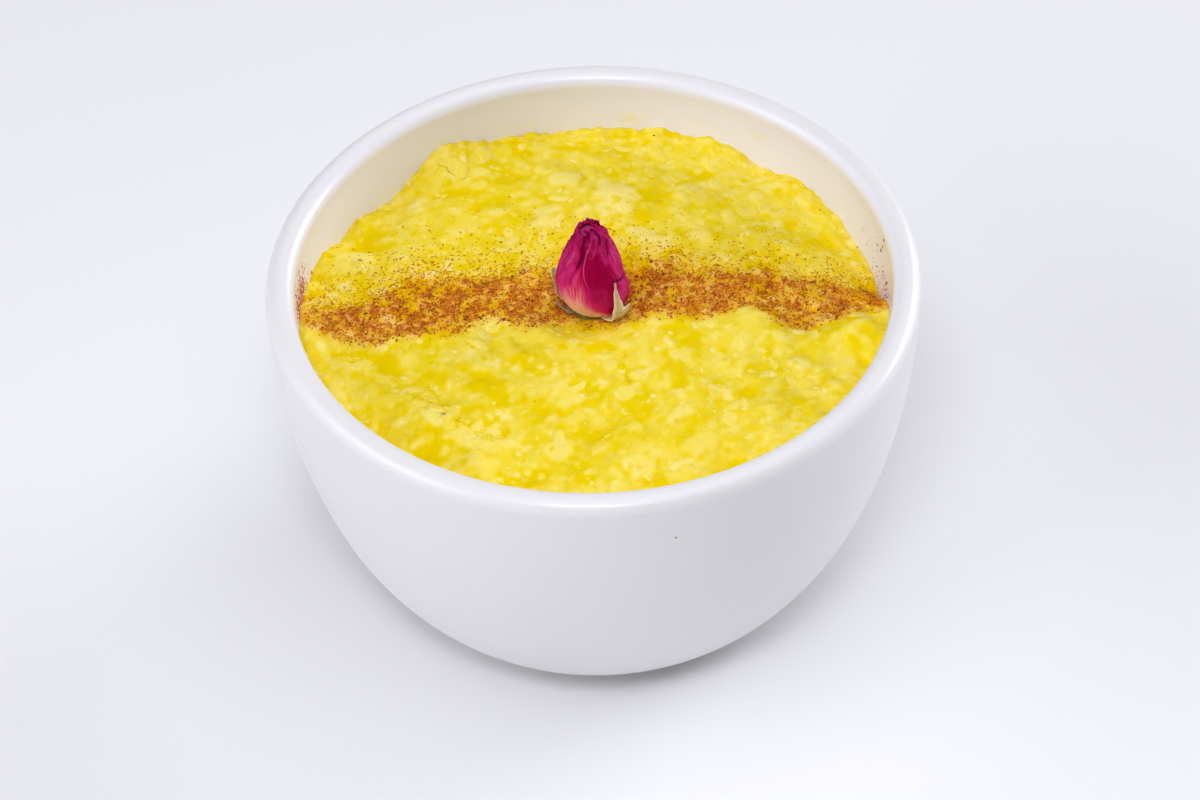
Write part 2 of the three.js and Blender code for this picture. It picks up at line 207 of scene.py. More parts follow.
bowl_profile = [(0, foot_recess), (foot_inner * 0.6, foot_recess)]
bowl_profile += arc((foot_inner - foot_fillet, foot_recess - foot_fillet), foot_fillet, 90, 20, 5)
bowl_profile += arc((foot_inner + foot_rounding, foot_rounding), foot_rounding, 190, 270, 5)
bowl_profile += arc((foot_outer - foot_rounding, foot_rounding), foot_rounding, 270, 360, 5)
bowl_profile += [(foot_outer + 0.1 * MM, wall_bottom - 1.2 * MM)]
bowl_profile += arc((foot_outer + 0.3 * MM + MM, wall_bottom - 1.1 * MM), MM, 180, 100, 4)
bowl_profile += [(outer_radius(z), z) for z in np.linspace(wall_bottom, lip_level, 60)]
bowl_profile += arc((bowl_radius - lip_radius, lip_level), lip_radius, 4, 176, 20)
bowl_profile += inside + [(inside[-1][0] * 0.7, cavity_floor + 0.2 * MM), (0, cavity_floor)]

bowl_mesh = turned("bowl", bowl_profile, bowl_steps)
for v in bowl_mesh.vertices:
    flat = hypot(v.co.x, v.co.y)
    if v.co.z > wall_bottom and flat > 10 * MM:
        sag = wall_sway * noise.noise(v.co * sways_per_metre)
        sag *= min(1, (v.co.z - wall_bottom) / full_sway_above)
        v.co.x *= 1 + sag / flat
        v.co.y *= 1 + sag / flat
        v.co.z = min(v.co.z + sag * 0.6, bowl_height)


def smoothstep(value, low, high):
    t = np.clip((value - low) / (high - low), 0, 1)
    return t * t * (3 - 2 * t)


def paint(mesh, name, values):
    """Keeps a value for each point of the mesh, for its finish to read."""
    mesh.attributes.new(name, "FLOAT", "POINT").data.foreach_set("value", np.asarray(values, np.float32))


bowl_points = [v.co.copy() for v in bowl_mesh.vertices]
depth_in_wall = [outer_radius(p.z) - hypot(p.x, p.y) if p.z > wall_bottom else 0 for p in bowl_points]
below_lip = 1 - smoothstep(np.array([p.z for p in bowl_points]), 65 * MM, 69.5 * MM)
within = smoothstep(np.array(depth_in_wall), 3.2 * MM, 4.4 * MM)
# Painted light: the inside of the bowl is painted lighter and bluer, less so near the lip, to offset the
# yellow light that the pudding throws on the wall.
paint(bowl_mesh, "inside", within * (0.45 + 0.55 * below_lip))

# Where pudding has touched the wall it leaves faint smears, listed as heading, height, half sizes and
# strength.
smears = [
    (80.5, 61, 4, 2.6, 0.5), (53, 64.5, 4, 1.3, 0.3), (66, 61.5, 5, 1.2, 0.3),
    (121, 61.5, 3.5, 1.8, 0.6), (14, 67.5, 14, 2.2, 0.3), (104, 60.5, 5, 1.4, 0.3)]
smeared = np.zeros(len(within))
for heading, level, wide, tall, strength in smears:
    for i, p in enumerate(bowl_points):
        far = hypot((degrees(atan2(p.y, p.x)) - heading) / wide, (p.z / MM - level) / tall)
        smeared[i] = max(smeared[i], strength * within[i] * smoothstep(far, 1.2, 0.3))
paint(bowl_mesh, "smear", smeared)


def feed(tree, socket, value):
    """Sets a socket to a value, or joins it to the socket that it comes from."""
    if isinstance(value, bpy.types.NodeSocket):
        tree.links.new(value, socket)
    else:
        socket.default_value = value


def add_node(tree, kind, inputs, **options):
    """A node with these options, its inputs given by name or number as values or sockets."""
    made = tree.nodes.new("ShaderNode" + kind)
    for option, value in options.items():
        setattr(made, option, value)
    for key, value in inputs.items():
        feed(tree, made.inputs[key], value)
    return made


def object_place(tree):
    return add_node(tree, "TexCoord", {}).outputs["Object"]


def painted(tree, name):
    """What was painted on the mesh under this name."""
    return add_node(tree, "Attribute", {}, attribute_name=name).outputs["Fac"]


def clouds(tree, where, scale, detail=2.0, rough=0.5):
    """Soft noise from 0 to 1, with this many blotches to the metre."""
    inputs = {"Vector": where, "Scale": scale, "Detail": detail, "Roughness": rough}
    return add_node(tree, "TexNoise", inputs).outputs[0]


def between(tree, value, low, high, to_low=0.0, to_high=1.0):
    """A value stretched so that low becomes to_low and high becomes to_high, and held there outside."""
    inputs = {"Value": value, "From Min": low, "From Max": high, "To Min": to_low, "To Max": to_high}
    return add_node(tree, "MapRange", inputs, interpolation_type="SMOOTHSTEP").outputs[0]


def calculate(tree, operation, a, b=0.0):
    return add_node(tree, "Math", {0: a, 1: b}, operation=operation).outputs[0]


def blended(tree, share, a, b, how="MIX"):
    """Colour a turning to colour b, by a share from 0 to 1."""
    a, b = [(*c, 1) if isinstance(c, tuple) and len(c) == 3 else c for c in (a, b)]
    return add_node(tree, "Mix", {0: share, 6: a, 7: b}, data_type="RGBA", blend_type=how).outputs[2]


def bumped(tree, height, distance, strength=1.0, under=None):
    inputs = {"Height": height, "Distance": distance, "Strength": strength}
    if under:
        inputs["Normal"] = under
    return add_node(tree, "Bump", inputs).outputs[0]


glaze, tree, shader = new_finish("white glaze")
place_on = object_place(tree)
upright = add_node(tree, "SeparateXYZ", {"Vector": place_on}).outputs["Z"]
cells = add_node(tree, "TexVoronoi", {"Vector": place_on, "Scale": 62.0, "Randomness": 1.0})
lot = add_node(tree, "SeparateColor", {"Color": cells.outputs["Color"]}).outputs[0]
rare = calculate(tree, "GREATER_THAN", lot, 0.80)
speck = calculate(tree, "MULTIPLY", between(tree, cells.outputs["Distance"], 0.012, 0.026, 1.0, 0.0), rare)
clay_shows = between(tree, upright, 0.15 * MM, 0.5 * MM, 1.0, 0.0)
cloud = clouds(tree, place_on, 30, 3)
white = blended(tree, cloud, (0.79, 0.785, 0.79), (0.83, 0.825, 0.83))
# Painted light: lighter and bluer inside the bowl, against the pudding's yellow bounce light.
white = blended(tree, painted(tree, "inside"), white, (0.86, 0.855, 1.0))
film = between(tree, clouds(tree, place_on, 420, 4, 0.6), 0.42, 0.62, 0.15, 1.0)
white = blended(tree, calculate(tree, "MULTIPLY", painted(tree, "smear"), film), white, (0.87, 0.79, 0.42))
white = blended(tree, calculate(tree, "MULTIPLY", speck, 0.75), white, (0.25, 0.19, 0.15))
white = blended(tree, clay_shows, white, (0.72, 0.68, 0.61))
feed(tree, shader.inputs["Base Color"], white)
feed(tree, shader.inputs["Roughness"], between(tree, clay_shows, 0, 1, 0.32, 0.75))
shader.inputs["IOR"].default_value = 1.52
shader.inputs["Coat Weight"].default_value = 0.15
shader.inputs["Coat Roughness"].default_value = 0.3
orange_peel = bumped(tree, clouds(tree, place_on, 260, 2), 0.02 * MM)
pinholes = bumped(tree, speck, 0.05 * MM, -0.6, orange_peel)
feed(tree, shader.inputs["Normal"], pinholes)

place(bowl_mesh, glaze, "porcelain", "bowl")


# ---- The pudding is short rice boiled down with saffron and sugar until the grains burst. Pale soft grains
# and clumps lie in a yellow mush, and clear deep yellow jelly fills the hollows. It was spooned in warm and
# has set as it fell.

draw = np.random.default_rng(4)
cell = 0.2 * MM
reach = 56 * MM
line = np.arange(-reach, reach + cell / 2, cell)
east, north = np.meshgrid(line, line)
spread_out = np.fft.fftfreq(len(line), cell)
frequency = np.hypot(*np.meshgrid(spread_out, spread_out))


def blurred(chart, size):
    """The chart with everything finer than this size smoothed away."""
    return np.fft.ifft2(np.fft.fft2(chart) * np.exp(-2 * (pi * frequency * size) ** 2)).real


def blotches(size):
    """A chart of random soft blotches of this size, with a mean of 0 and a spread of 1."""
    chart = blurred(draw.standard_normal(east.shape), size)
    return (chart - chart.mean()) / chart.std()


def read(chart, x, y):
    """The values of a chart at these places."""
    col, row = [np.clip((v + reach) / cell, 0, len(line) - 1.001) for v in (x, y)]
    i, j = row.astype(int), col.astype(int)
    a, b = row - i, col - j
    low = chart[i, j] * (1 - b) + chart[i, j + 1] * b
    high = chart[i + 1, j] * (1 - b) + chart[i + 1, j + 1] * b
    return low * (1 - a) + high * a


# The level that it was spooned to is that of the solid it stands for.
solid = BVHTree.FromObject(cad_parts["pudding"], bpy.context.evaluated_depsgraph_get())
edge_radius = 53.7 * MM
measured_radius = 52.8 * MM
high_up, straight_down = 0.1, Vector((0, 0, -1))
coarse = line[::4]
levels = np.zeros((len(coarse), len(coarse)))
for row, y in enumerate(coarse):
    for col, x in enumerate(coarse):
        inward = min(1, measured_radius / max(hypot(x, y), MM))
        levels[row, col] = solid.ray_cast(Vector((x * inward, y * inward, high_up)), straight_down)[0].z
spooned = np.array([np.interp(line, coarse, row) for row in levels])
spooned = np.array([np.interp(line, coarse, row) for row in spooned.T]).T
spooned = blurred(spooned, 0.9 * MM)

surface = spooned + (0.10 * blotches(1.2 * MM) - 0.4) * MM
paleness = 0.42 + 0.12 * blotches(3 * MM) + 0.10 * blotches(1.3 * MM) + 0.05 * blotches(0.5 * MM)
wobble = 0.30 * blotches(0.9 * MM) + 0.15 * blotches(0.4 * MM)


def lay_lump(x, y, length, width, turn, rise, tone, soft):
    """Presses one soft grain or clump in among the others. Its sizes are half lengths."""
    near = int(1.3 * max(length, width) / cell) + 1
    row, col = int(round((y + reach) / cell)), int(round((x + reach) / cell))
    window = np.s_[max(row - near, 0) : row + near + 1, max(col - near, 0) : col + near + 1]
    dx, dy = east[window] - x, north[window] - y
    along, aside = dx * cos(turn) + dy * sin(turn), dy * cos(turn) - dx * sin(turn)
    inwards = 1 - (along / length) ** 2 - (aside / width) ** 2 - wobble[window]
    dome = np.clip(inwards, 0, 1)
    top = spooned[window] + rise - 0.36 * min(width, 2.8 * MM) * (1 - dome**0.7)
    wins = np.clip(0.5 + (top - surface[window]) / (2 * soft), 0, 1)
    surface[window] += (top - surface[window]) * wins + soft * wins * (1 - wins)
    shows = smoothstep(wins, 0.1, 0.45)
    paleness[window] -= 0.13 * shows * smoothstep(inwards, -0.5, 0)
    paleness[window] += (tone - paleness[window]) * shows * smoothstep(dome, 0, 0.5)


def scatter_lumps(count, length, width, rise, tone, soft):
    for _ in range(count):
        far = edge_radius * sqrt(draw.random())
        heading = 2 * pi * draw.random()
        long = draw.uniform(*length) * MM
        wide = min(draw.uniform(*width) * MM, long)
        lump = (long, wide, pi * draw.random(), draw.uniform(*rise) * MM, draw.normal(*tone), soft * MM)
        lay_lump(far * cos(heading), far * sin(heading), *lump)


scatter_lumps(110, length=(2.4, 4.6), width=(1.8, 3.2), rise=(-0.3, 0.4), tone=(0.62, 0.16), soft=0.4)
scatter_lumps(1700, length=(1.2, 2.2), width=(0.8, 1.4), rise=(-0.4, 0.2), tone=(0.58, 0.22), soft=0.35)
scatter_lumps(3600, length=(0.5, 1.1), width=(0.45, 0.85), rise=(-0.3, 0.05), tone=(0.57, 0.26), soft=0.25)

# Clear jelly has drained into hollows. The wide ones are listed as x, y and half sizes along and across.
jelly_depth = 0.5 * MM
hollows = [
    (-26.3, 35.3, 2.5, 1.3), (-14.6, 38.5, 3.5, 1.5), (11.7, 32.4, 2.1, 2.5), (-40.0, 21.1, 3.6, 1.1),
    (6.2, 51.1, 1.9, 1.1), (-24.1, -23.5, 3.9, 1.3), (-30.7, -32.1, 2.6, 4.2), (1.0, -21.7, 1.5, 1.6),
    (15.1, -16.3, 1.0, 4.2), (-0.5, -31.3, 2.8, 1.9), (-12.2, -40.6, 3.7, 2.1), (25.2, -38.2, 3.1, 2.4),
    (-17.4, -21.7, 1.9, 2.1), (17.4, -8.8, 1.7, 1.1), (-2.4, 47.9, 2.8, 1.3), (21.1, 38.1, 2.2, 1.3)]
clear = smoothstep(blotches(1.5 * MM) + 0.6 * blotches(0.6 * MM), 0.9, 2.2)
for x, y, along, across in hollows:
    far = np.hypot((east - x * MM) / (along * MM), (north - y * MM) / (across * MM)) + 0.8 * wobble
    clear = np.maximum(clear, 1 - smoothstep(far, 0.6, 1.3))
clear = blurred(clear, 0.25 * MM)
surface += (spooned - jelly_depth - surface) * clear
paleness *= 1 - 0.95 * clear

# Grains stand in the jelly too. These clumps are the widest, listed as x, y, half sizes and turn in degrees.
clumps = [
    (4.4, 31.4, 4.5, 6.4, 0), (-8.4, 25.6, 4.0, 4.0, 0), (-5.0, 37.2, 3.4, 3.4, 30),
    (11.3, 17.6, 4.4, 4.6, 0), (18.0, 33.3, 2.2, 2.2, 0), (8.5, 21.2, 2.6, 2.4, 20),
    (30.7, 31.0, 1.8, 2.2, 0), (-44.2, 17.1, 3.8, 2.2, 10), (-13.1, 33.5, 2.4, 1.6, 0),
    (-17.5, 27.7, 2.1, 1.8, 0), (26.6, -8.7, 1.6, 1.9, 0), (33.0, -8.2, 1.9, 1.9, 0),
    (12.7, -17.3, 4.6, 1.1, 85), (-5.9, -21.4, 2.7, 3.2, 0), (-28.3, -26.4, 3.2, 2.0, -45),
    (-23.9, -31.6, 3.6, 2.1, -50), (-21.0, -38.0, 3.0, 2.0, -60), (-44.8, -12.8, 2.0, 2.6, 0),
    (-46.7, -17.6, 1.6, 2.4, 0), (8.1, -39.4, 2.8, 2.6, 0), (15.5, -27.2, 2.4, 2.4, 0),
    (-5.2, -27.3, 2.3, 2.3, 0), (30.5, -3.6, 2.8, 1.7, 0), (22.7, -13.0, 2.1, 2.4, 0),
    (18.3, -33.4, 3.5, 2.6, 15), (-6.8, -34.8, 2.7, 2.3, 0), (37.3, -13.6, 2.6, 2.2, 0)]
scatter_lumps(700, length=(0.5, 1.2), width=(0.45, 0.9), rise=(-0.35, 0.3), tone=(0.6, 0.2), soft=0.15)
for x, y, along, across, turn in clumps:
    tone = draw.normal(0.79 + 0.1 * (y > 15), 0.07)
    lay_lump(x * MM, y * MM, along * MM, across * MM, radians(turn), 0.75 * MM, tone, 0.35 * MM)

# The surface is gentler towards the back, and ragged where it meets the wall.
ragged = 0.5 * blotches(0.9 * MM) + 0.8 * blotches(0.4 * MM)
ragged *= smoothstep(np.hypot(east, north), 49 * MM, 53 * MM)
surface = blurred(surface, 0.5 * MM)
gentler = 0.85 * smoothstep(north, 10 * MM, 22 * MM)
surface += (blurred(surface, 0.9 * MM) - surface) * gentler + 0.22 * MM * ragged
paleness = np.clip(blurred(paleness, 0.2 * MM), 0, 1)

# Under the bud the surface is pressed flat.
bud_x, bud_y = -0.5 * MM, 3.0 * MM
bud_foot = 59.5 * MM
away = np.hypot(east - bud_x, north - bud_y)
pressed = 1 - smoothstep(away, 3.5 * MM, 13 * MM)
surface += (np.minimum(surface, bud_foot + 0.25 * MM) - surface) * pressed

# The cinnamon lies in a stripe from wall to wall, thick behind an uneven front edge, and thins out to a
# dust at the back. Both edges are listed as x and y.
stripe_front = [
    (-54, 1), (-50, -1.2), (-46, -4), (-40, -5.3), (-34, -4.2), (-27, -3.4), (-20, -1.3), (-13, -4.2),
    (-8, -0.8), (0, -2.4), (5, -0.8), (20, -2.5), (28, -0.9), (36, -5.1), (44, -4.2), (48, -2),
    (54, -1.5)]
stripe_back = [
    (-54, 4.6), (-50, 3.4), (-46, 3.8), (-42, 5.6), (-38, 8.4), (-30, 11.2), (-24, 10), (-12, 10.6),
    (10, 12), (18, 11.3), (25, 10), (32, 10.5), (36, 7), (43, 8.6), (48, 7), (53, 11)]
front_edge, back_edge = [np.interp(east, *(np.array(edge).T * MM)) for edge in (stripe_front, stripe_back)]
strays = 0.5 * MM * blotches(1.6 * MM)
behind = north - blurred(front_edge, 0.8 * MM) - strays
beyond = north - blurred(back_edge, 0.8 * MM) - strays
starts = smoothstep(behind, -2 * MM, 2.6 * MM)
ends_at = smoothstep(beyond, -2.5 * MM, 1.5 * MM)
thick = starts * (1 - ends_at)
dusting = starts * (0.1 + 0.9 * ends_at) * np.exp(-np.clip(beyond - MM, 0, None) / (4 * MM))
clumped = smoothstep(0.8 * blotches(0.8 * MM) + blotches(0.35 * MM), -1.2, 1.3)
stain = np.clip(blurred(thick, 0.4 * MM) * (0.5 + 0.45 * clumped) + 0.2 * ends_at * dusting, 0, 1)

# A square grid makes the top, and its rim goes down in rings to close the body along the wall.
pudding_steps = 286
bm = bmesh.new()
bmesh.ops.create_grid(bm, x_segments=pudding_steps, y_segments=pudding_steps, size=1)
rim = [edge for edge in bm.edges if edge.is_boundary]
sunk = [z for _, z in inside if z < 50 * MM][::7]
for z in sunk:
    made = bmesh.ops.extrude_edge_only(bm, edges=rim)["geom"]
    rim = [item for item in made if isinstance(item, bmesh.types.BMEdge) and item.is_boundary]
    for v in {v for edge in rim for v in edge.verts}:
        v.co.z = -z
bmesh.ops.contextual_create(bm, geom=rim)
bmesh.ops.recalc_face_normals(bm, faces=bm.faces)
for face in bm.faces:
    face.smooth = True
pudding_mesh = mesh_from(bm, "pudding")


def points_of(mesh):
    """The x, y and z of all the mesh's points."""
    co = np.empty(len(mesh.vertices) * 3)
    mesh.vertices.foreach_get("co", co)
    return co.reshape(-1, 3).T


u, v, depth = points_of(pudding_mesh)
x, y = u * np.sqrt(1 - v * v / 2), v * np.sqrt(1 - u * u / 2)
read_at = x * edge_radius, y * edge_radius
on_top = depth > -1e-6
z = np.where(on_top, read(surface, *read_at), -depth)
radius_at = inside_radius(z)
radius_at = np.where(on_top, radius_at + 0.1 * MM, radius_at - 0.05 * MM)
pudding_mesh.vertices.foreach_set("co", np.stack([x * radius_at, y * radius_at, z], 1).ravel())
paint(pudding_mesh, "pale", np.where(on_top, read(paleness, *read_at), 0.3))
paint(pudding_mesh, "stain", np.where(on_top, read(stain, *read_at), 0))
pudding_mesh.update()


def ramped(tree, share, colours):
    """A colour that runs through these (position, colour) stops, the first at 0 and the last at 1."""
    ramp = add_node(tree, "ValToRGB", {"Fac": share})
    stops = ramp.color_ramp.elements
    stops[0].color = (*colours[0][1], 1)
    stops[1].color = (*colours[-1][1], 1)
    for position, colour in colours[1:-1]:
        stops.new(position).color = (*colour, 1)
    return ramp.outputs[0]


rice, tree, shader = new_finish("saffron rice")
place_on = object_place(tree)
drifts = calculate(tree, "SUBTRACT", clouds(tree, place_on, 700, 3, 0.6), 0.5)
pale = calculate(tree, "ADD", painted(tree, "pale"), calculate(tree, "MULTIPLY", drifts, 0.35))
colour = ramped(tree, pale, [
    (0, (0.80, 0.586, 0.001)), (0.2, (0.82, 0.611, 0.002)), (0.4, (0.845, 0.645, 0.025)),
    (0.6, (0.87, 0.684, 0.065)), (0.8, (0.89, 0.722, 0.114)), (1, (0.925, 0.768, 0.21))])
colour = blended(tree, painted(tree, "stain"), colour, (0.965, 0.5, 0.40), "MULTIPLY")
feed(tree, shader.inputs["Base Color"], colour)
shader.inputs["Roughness"].default_value = 0.5
shader.inputs["Specular IOR Level"].default_value = 0.0
wide_gleam = between(tree, clouds(tree, place_on, 140, 2), 0.46, 0.58)
wet = calculate(tree, "MULTIPLY", wide_gleam, between(tree, clouds(tree, place_on, 700, 2, 0.5), 0.48, 0.6))
feed(tree, shader.inputs["Coat Weight"], wet)
shader.inputs["Coat Roughness"].default_value = 0.08
shader.inputs["Coat IOR"].default_value = 1.5
fine = bumped(tree, clouds(tree, place_on, 1500, 3, 0.6), 0.05 * MM)
lumpy = bumped(tree, clouds(tree, place_on, 600, 2, 0.5), 0.08 * MM, 1.0, fine)
feed(tree, shader.inputs["Normal"], lumpy)
feed(tree, shader.inputs["Coat Normal"], bumped(tree, clouds(tree, place_on, 1100, 2, 0.5), 0.24 * MM))

pudding = place(pudding_mesh, rice, "rice", "pudding")


# Whole and broken grains that lie on top are pieces of their own, swollen and half sunk.
strewn_reach = 51.3 * MM
clear_of_bud = 7 * MM


def points_and_sides(bm):
    """The points and the faces of a small form that is copied many times."""
    points = np.array([v.co for v in bm.verts])
    sides = np.array([[v.index for v in face.verts] for face in bm.faces])
    bm.free()
    return points, sides


def copies(name, sides, points):
    """One mesh of many copies of a small form, which share its triangles and have each their own points."""
    starts_at = (np.arange(len(points)) * len(points[0]))[:, None, None]
    mesh = bpy.data.meshes.new(name)
    mesh.from_pydata(np.concatenate(points), [], (sides[None] + starts_at).reshape(-1, 3))
    return mesh


def strewn(name, count, length, width, showing, tone):
    """Many soft grains in one mesh. Each is an uneven dome whose edge dips into the pudding, flat underneath,
    and it takes the pudding's colour towards its edge."""
    bm = bmesh.new()
    bmesh.ops.create_icosphere(bm, subdivisions=3, radius=1)
    ball, sides = points_and_sides(bm)
    down = np.arccos(np.clip(ball[:, 2], -1, 1)) / (pi / 2)
    out = 1.4 * np.minimum(down, 2 - down)
    disc = ball[:, :2] * (out / np.maximum(np.hypot(ball[:, 0], ball[:, 1]), 1e-6))[:, None]
    dome = np.exp(-2.2 * out**2.6)
    points, tones, stains = [], [], []
    while len(points) < count:
        far, heading = strewn_reach * sqrt(draw.random()), 2 * pi * draw.random()
        x, y = far * cos(heading), far * sin(heading)
        spot = np.array([x]), np.array([y])
        wanted = 1 - 0.8 * read(clear, *spot)[0] - 0.6 * smoothstep(read(paleness, *spot)[0], 0.7, 0.85)
        if draw.random() > wanted or hypot(x - bud_x, y - bud_y) < clear_of_bud:
            continue
        half = np.array([draw.uniform(*length), draw.uniform(*width)]) * MM
        swell = 1 + 0.15 * np.sin(ball @ draw.normal(0, 2.2, 3) + 6 * draw.random())
        plan = disc * half * swell[:, None]
        plan[:, 1] += draw.normal(0, 0.12) * MM * (plan[:, 0] / half[0]) ** 2 * 2
        turn = 2 * pi * draw.random()
        across = x + plan[:, 0] * cos(turn) - plan[:, 1] * sin(turn)
        back = y + plan[:, 0] * sin(turn) + plan[:, 1] * cos(turn)
        rises = draw.uniform(*showing) * MM * dome - 0.03 * MM - 0.25 * MM * smoothstep(out, 1.0, 1.4)
        rises = np.where(down > 1.001, -0.4 * MM, rises)
        points.append(np.stack([across, back, read(surface, across, back) + rises], -1))
        under = read(paleness, across, back)
        tones.append(under + (draw.normal(*tone) - under) * smoothstep(dome, 0.08, 0.45))
        stains.append(read(stain, across, back))
    mesh = copies(name, sides, points)
    mesh.polygons.foreach_set("use_smooth", [True] * len(mesh.polygons))
    paint(mesh, "pale", np.concatenate(tones))
    paint(mesh, "stain", np.concatenate(stains))
    return place(mesh, rice, "rice")


whole = strewn(
    "whole_grains", 200, length=(1.5, 2.6), width=(1.0, 1.6), showing=(0.18, 0.4), tone=(0.72, 0.12))
broken = strewn(
    "broken_grains", 550, length=(0.6, 1.1), width=(0.5, 0.85), showing=(0.1, 0.25), tone=(0.7, 0.2))


# ---- Ground cinnamon is bark milled to fine flat splinters of many browns. It is strewn from the
# fingertips along the stripe, so it lies in clumps, and some has blown over the pudding behind and stuck to
# the wet wall at both ends.

cinnamon_reach = 53.3 * MM
splinter_count, dust_count, crumb_count = 16500, 6000, 260

bm = bmesh.new()
bmesh.ops.create_uvsphere(bm, u_segments=4, v_segments=2, radius=1)
splinter, splinter_sides = points_and_sides(bm)
depsgraph = bpy.context.evaluated_depsgraph_get()
heaped = [BVHTree.FromObject(piece, depsgraph) for piece in (pudding, whole, broken)]


def lying_at(x, y):
    """[place, normal] on top of whatever lies uppermost there."""
    hits = [layer.ray_cast(Vector((x, y, high_up)), straight_down)[:2] for layer in heaped]
    return max((hit for hit in hits if hit[0]), key=lambda hit: hit[0].z)


def picked(chart, count):
    """Places drawn at random, most where the chart is highest."""
    chance = np.where(np.hypot(east, north) < cinnamon_reach, np.clip(chart, 0, None), 0).ravel()
    cells = draw.choice(len(chance), count, p=chance / chance.sum())
    stray = draw.uniform(-0.5, 0.5, (count, 2)) * cell
    return np.stack([east.ravel()[cells], north.ravel()[cells]], 1) + stray


splinters, splinter_tones, splinter_wets = [], [], []


def drop_splinter(spot, normal, long, tone, lift=0.0, wet=0.0):
    """Lays one splinter on a place, more or less flat. Wet is how far the syrup has soaked its colour."""
    half = np.array([long, long * draw.uniform(0.3, 0.6), long * draw.uniform(0.15, 0.35)])
    across = Vector(normal).orthogonal()
    lie = Matrix((across, Vector(normal).cross(across), normal)).transposed()
    tumble = Matrix.Rotation(draw.normal(0, 0.35), 3, "Y") @ Matrix.Rotation(draw.normal(0, 0.5), 3, "X")
    turn = lie @ Matrix.Rotation(2 * pi * draw.random(), 3, "Z") @ tumble
    ridge_highlight = np.array(normal) * (lift + half[2] * 0.6)
    splinters.append(splinter * half @ np.array(turn).T + np.array(spot) + ridge_highlight)
    splinter_tones.extend([tone] * len(splinter))
    splinter_wets.extend([wet] * len(splinter))


fewer_right = 1 - 0.35 * smoothstep(east, 0, 20 * MM)
for x, y in picked(thick * (0.25 + clumped) * fewer_right, splinter_count):
    spot, normal = lying_at(x, y)
    long, tone = draw.gamma(4, 0.04) * MM, draw.normal(0.55, 0.23)
    drop_splinter(spot, normal, long, tone, draw.random() ** 3 * 0.35 * MM)
for x, y in picked(dusting * fewer_right, dust_count):
    spot, normal = lying_at(x, y)
    drop_splinter(spot, normal, draw.gamma(4, 0.035) * MM, draw.normal(0.5, 0.25), wet=0.75)

# Coarse dark crumbs, a few of them well in front of the stripe.
for x, y in picked(thick + 0.5 * dusting + 0.004, crumb_count):
    spot, normal = lying_at(x, y)
    drop_splinter(spot, normal, draw.uniform(0.12, 0.26) * MM, draw.normal(0.12, 0.08))

# On the wall it lies level with the stripe's ends. These are the middle and spread of its heading, the middle
# and spread of its height, the count and the tone.
blown_on_wall = [
    (173, 2.8, 59.8, 2.7, 800, 0.6), (177, 2.2, 62, 2.4, 300, 0.6),
    (3, 5, 58, 2.4, 200, 0.3), (11, 7, 60, 3, 70, 0.25)]
for heading, heading_spread, level, level_spread, count, tone in blown_on_wall:
    for _ in range(count):
        a = radians(draw.normal(heading, heading_spread))
        z = min(draw.normal(level, level_spread), 68) * MM
        r = inside_radius(z)
        spot, inwards = (r * cos(a), r * sin(a), z), Vector((-cos(a), -sin(a), 0))
        drop_splinter(spot, inwards, draw.gamma(4, 0.036) * MM, draw.normal(tone, 0.16))

cinnamon_mesh = copies("cinnamon", splinter_sides, splinters)
paint(cinnamon_mesh, "tone", splinter_tones)
paint(cinnamon_mesh, "wet", splinter_wets)

bark, tree, shader = new_finish("ground cinnamon")
colour = ramped(tree, painted(tree, "tone"), [
    (0, (0.15, 0.038, 0.006)), (0.3, (0.42, 0.105, 0.010)), (0.6, (0.68, 0.20, 0.018)),
    (1, (0.88, 0.40, 0.06))])
grain = clouds(tree, object_place(tree), 5000, 2)
colour = blended(tree, between(tree, grain, 0.3, 0.7, 0.0, 0.35), colour, (0.6, 0.3, 0.15), "MULTIPLY")
feed(tree, shader.inputs["Base Color"], blended(tree, painted(tree, "wet"), colour, (0.54, 0.25, 0.0)))
shader.inputs["Roughness"].default_value = 0.7
shader.inputs["IOR"].default_value = 1.1
feed(tree, shader.inputs["Normal"], bumped(tree, grain, 0.02 * MM))

place(cinnamon_mesh, bark, "rice")


# ---- The rosebud is a whole dried bud, its petals still wound tight. The outer ones have shrunk to thin
# wrinkled skins, crimson, and cream with fine veins where they grow from the calyx. A lighter magenta is
# painted on as sheen where light catches them, and their folds get painted shade and painted highlights.

bud_height = 18.9 * MM
bud_width = 6.55 * MM
bud_base = bud_foot + 0.65 * MM
bud_taper = 25.5 * MM
bud_swell, bud_narrowing = 0.31, 1.24
blunt_from = 18.3 * MM
bud_slide, bud_upright = 1.4 * MM, 7.2 * MM
bud_lean = 0.2 * MM
petal_thickness = 0.25 * MM
heart_thickness = 0.15 * MM
core_gap = 1.1 * MM
bud_steps = 48


def bud_radius(h):
    """Outline of the bud, fullest a quarter of the way up, with a blunt tip."""
    fullest = bud_swell / (bud_swell + bud_narrowing)
    u = np.clip(h, 0.08 * MM, blunt_from) / bud_taper
    outline = bud_width * (u / fullest) ** bud_swell * ((1 - u) / (1 - fullest)) ** bud_narrowing
    return outline * np.sqrt(1 - np.clip((h - blunt_from) / (bud_height - blunt_from), 0, 0.95) ** 2)


def bud_middle(h):
    """Where its middle lies: the base has slid to the right, and the tip leans that way a little."""
    return bud_x + bud_lean * smoothstep(h, 0, bud_height) + bud_slide * (1 - smoothstep(h, 0, bud_upright))


def on_bud(heading, radius, h):
    x, y = bud_middle(h) + radius * np.cos(heading), bud_y + radius * np.sin(heading)
    return np.stack([x, y, bud_base + h], -1)


def waves(x, y, z):
    """Smooth noise at these places, from -1 to 1."""
    return np.array([noise.noise(Vector(spot)) for spot in np.broadcast(x, y, z)])


